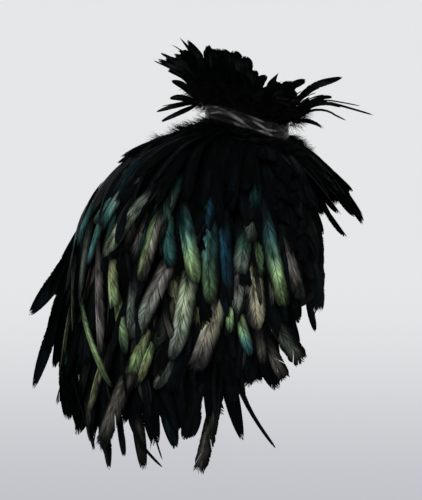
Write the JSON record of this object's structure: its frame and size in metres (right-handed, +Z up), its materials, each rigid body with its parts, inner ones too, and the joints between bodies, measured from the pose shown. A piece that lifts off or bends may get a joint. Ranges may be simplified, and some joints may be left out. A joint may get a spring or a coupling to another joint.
{
  "type": "feather cape",
  "caption": "Worn feather cape for one shoulder: satin neck band, flared feather collar, and overlapping rows of glossy black and green-bronze feathers over a cloth foundation.",
  "frame": {"origin": "middle of the neck opening, at the level of the bottom of the neck band", "axes": "+Z up along the wearer's neck, -Y towards the wearer's front, -X towards the wearer's right, where the long side hangs"},
  "size_m": [0.5032, 0.4277, 0.6336],
  "materials": {
    "satin": "pleated black satin",
    "cloth": "matt black foundation cloth",
    "hackle": "fluffy black rooster hackle",
    "teal": "black rooster feather with a teal and green sheen",
    "bronze": "rooster feather with a green and bronze sheen",
    "tail": "long black rooster tail feather"
  },
  "bodies": {
    "root": {"neck_band": "satin", "band_end": "satin", "collar_stand": "cloth", "front_panel": "cloth", "shoulder_front": "cloth", "shoulder_back": "cloth", "back_panel": "cloth", "left_yoke": "cloth", "collar_feathers": "hackle", "row_1_neck": "hackle", "row_2": "teal", "row_3": "teal", "row_4": "bronze", "row_5": "bronze", "row_6_hem": "tail"}
  },
  "joints": []
}
